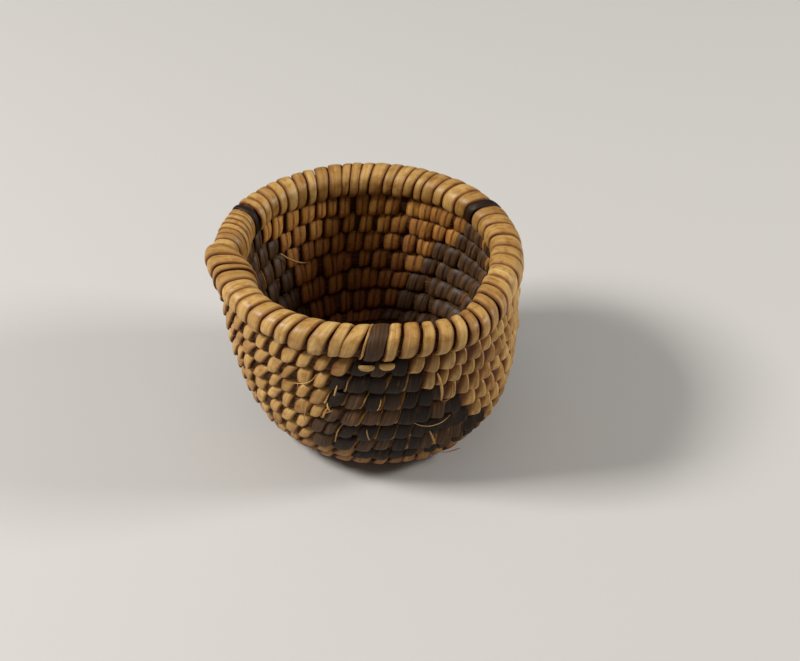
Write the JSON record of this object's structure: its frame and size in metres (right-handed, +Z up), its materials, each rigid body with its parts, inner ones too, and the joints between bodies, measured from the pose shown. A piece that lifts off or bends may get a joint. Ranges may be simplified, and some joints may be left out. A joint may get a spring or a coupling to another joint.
{
  "type": "miniature coiled basket",
  "caption": "Round open coiled basket in miniature, with a flat base, upright walls, a thick whipped rim and stepped dark figures on a light ground.",
  "frame": {"origin": "bottom centre of the bounding box, on the surface that the base rests on", "axes": "+Z up along the mouth's axis; -Y towards the picture's viewer; +X to the viewer's right"},
  "size_m": [0.025, 0.025, 0.0165],
  "materials": {
    "light_splint": "satin",
    "dark_splint": "satin",
    "grass_stems": "matte"
  },
  "bodies": {
    "root": {"base_edge_strand": "light_splint", "base_strand_1": "light_splint", "base_strand_2": "light_splint", "base_strand_3": "light_splint", "base_strand_4": "light_splint", "dark_strand_row_1_front": "dark_splint", "dark_strand_row_1_left": "dark_splint", "dark_strand_row_1_right": "dark_splint", "dark_strand_row_2_front": "dark_splint", "dark_strand_row_2_left": "dark_splint", "dark_strand_row_2_right": "dark_splint", "dark_strand_row_3_front": "dark_splint", "dark_strand_row_3_left": "dark_splint", "dark_strand_row_3_right": "dark_splint", "dark_strand_row_4_front": "dark_splint", "dark_strand_row_4_left": "dark_splint", "dark_strand_row_4_right": "dark_splint", "dark_strand_row_5_front": "dark_splint", "dark_strand_row_5_left": "dark_splint", "dark_strand_row_5_right": "dark_splint", "dark_strand_row_6_front": "dark_splint", "dark_strand_row_6_left": "dark_splint", "dark_strand_row_6_right": "dark_splint", "dark_strand_row_7_front": "dark_splint", "dark_strand_row_7_left": "dark_splint", "dark_strand_row_7_right": "dark_splint", "foundation_coil": "grass_stems", "light_strand_row_1_back": "light_splint", "light_strand_row_1_end": "light_splint", "light_strand_row_1_left": "light_splint", "light_strand_row_1_right": "light_splint", "light_strand_row_2_back": "light_splint", "light_strand_row_2_left": "light_splint", "light_strand_row_2_right": "light_splint", "light_strand_row_3_back": "light_splint", "light_strand_row_3_left": "light_splint", "light_strand_row_3_right": "light_splint", "light_strand_row_4_back": "light_splint", "light_strand_row_4_left": "light_splint", "light_strand_row_4_right": "light_splint", "light_strand_row_5_back": "light_splint", "light_strand_row_5_left": "light_splint", "light_strand_row_5_right": "light_splint", "light_strand_row_6_back": "light_splint", "light_strand_row_6_left": "light_splint", "light_strand_row_6_right": "light_splint", "light_strand_row_7_back": "light_splint", "light_strand_row_7_right": "light_splint", "rim_dark_stitch_front": "dark_splint", "rim_dark_stitch_left": "dark_splint", "rim_dark_stitch_right": "dark_splint", "rim_finishing_strand": "light_splint", "rim_strand_back": "light_splint", "rim_strand_left": "light_splint", "rim_strand_right": "light_splint", "start_knot": "light_splint"}
  },
  "joints": []
}
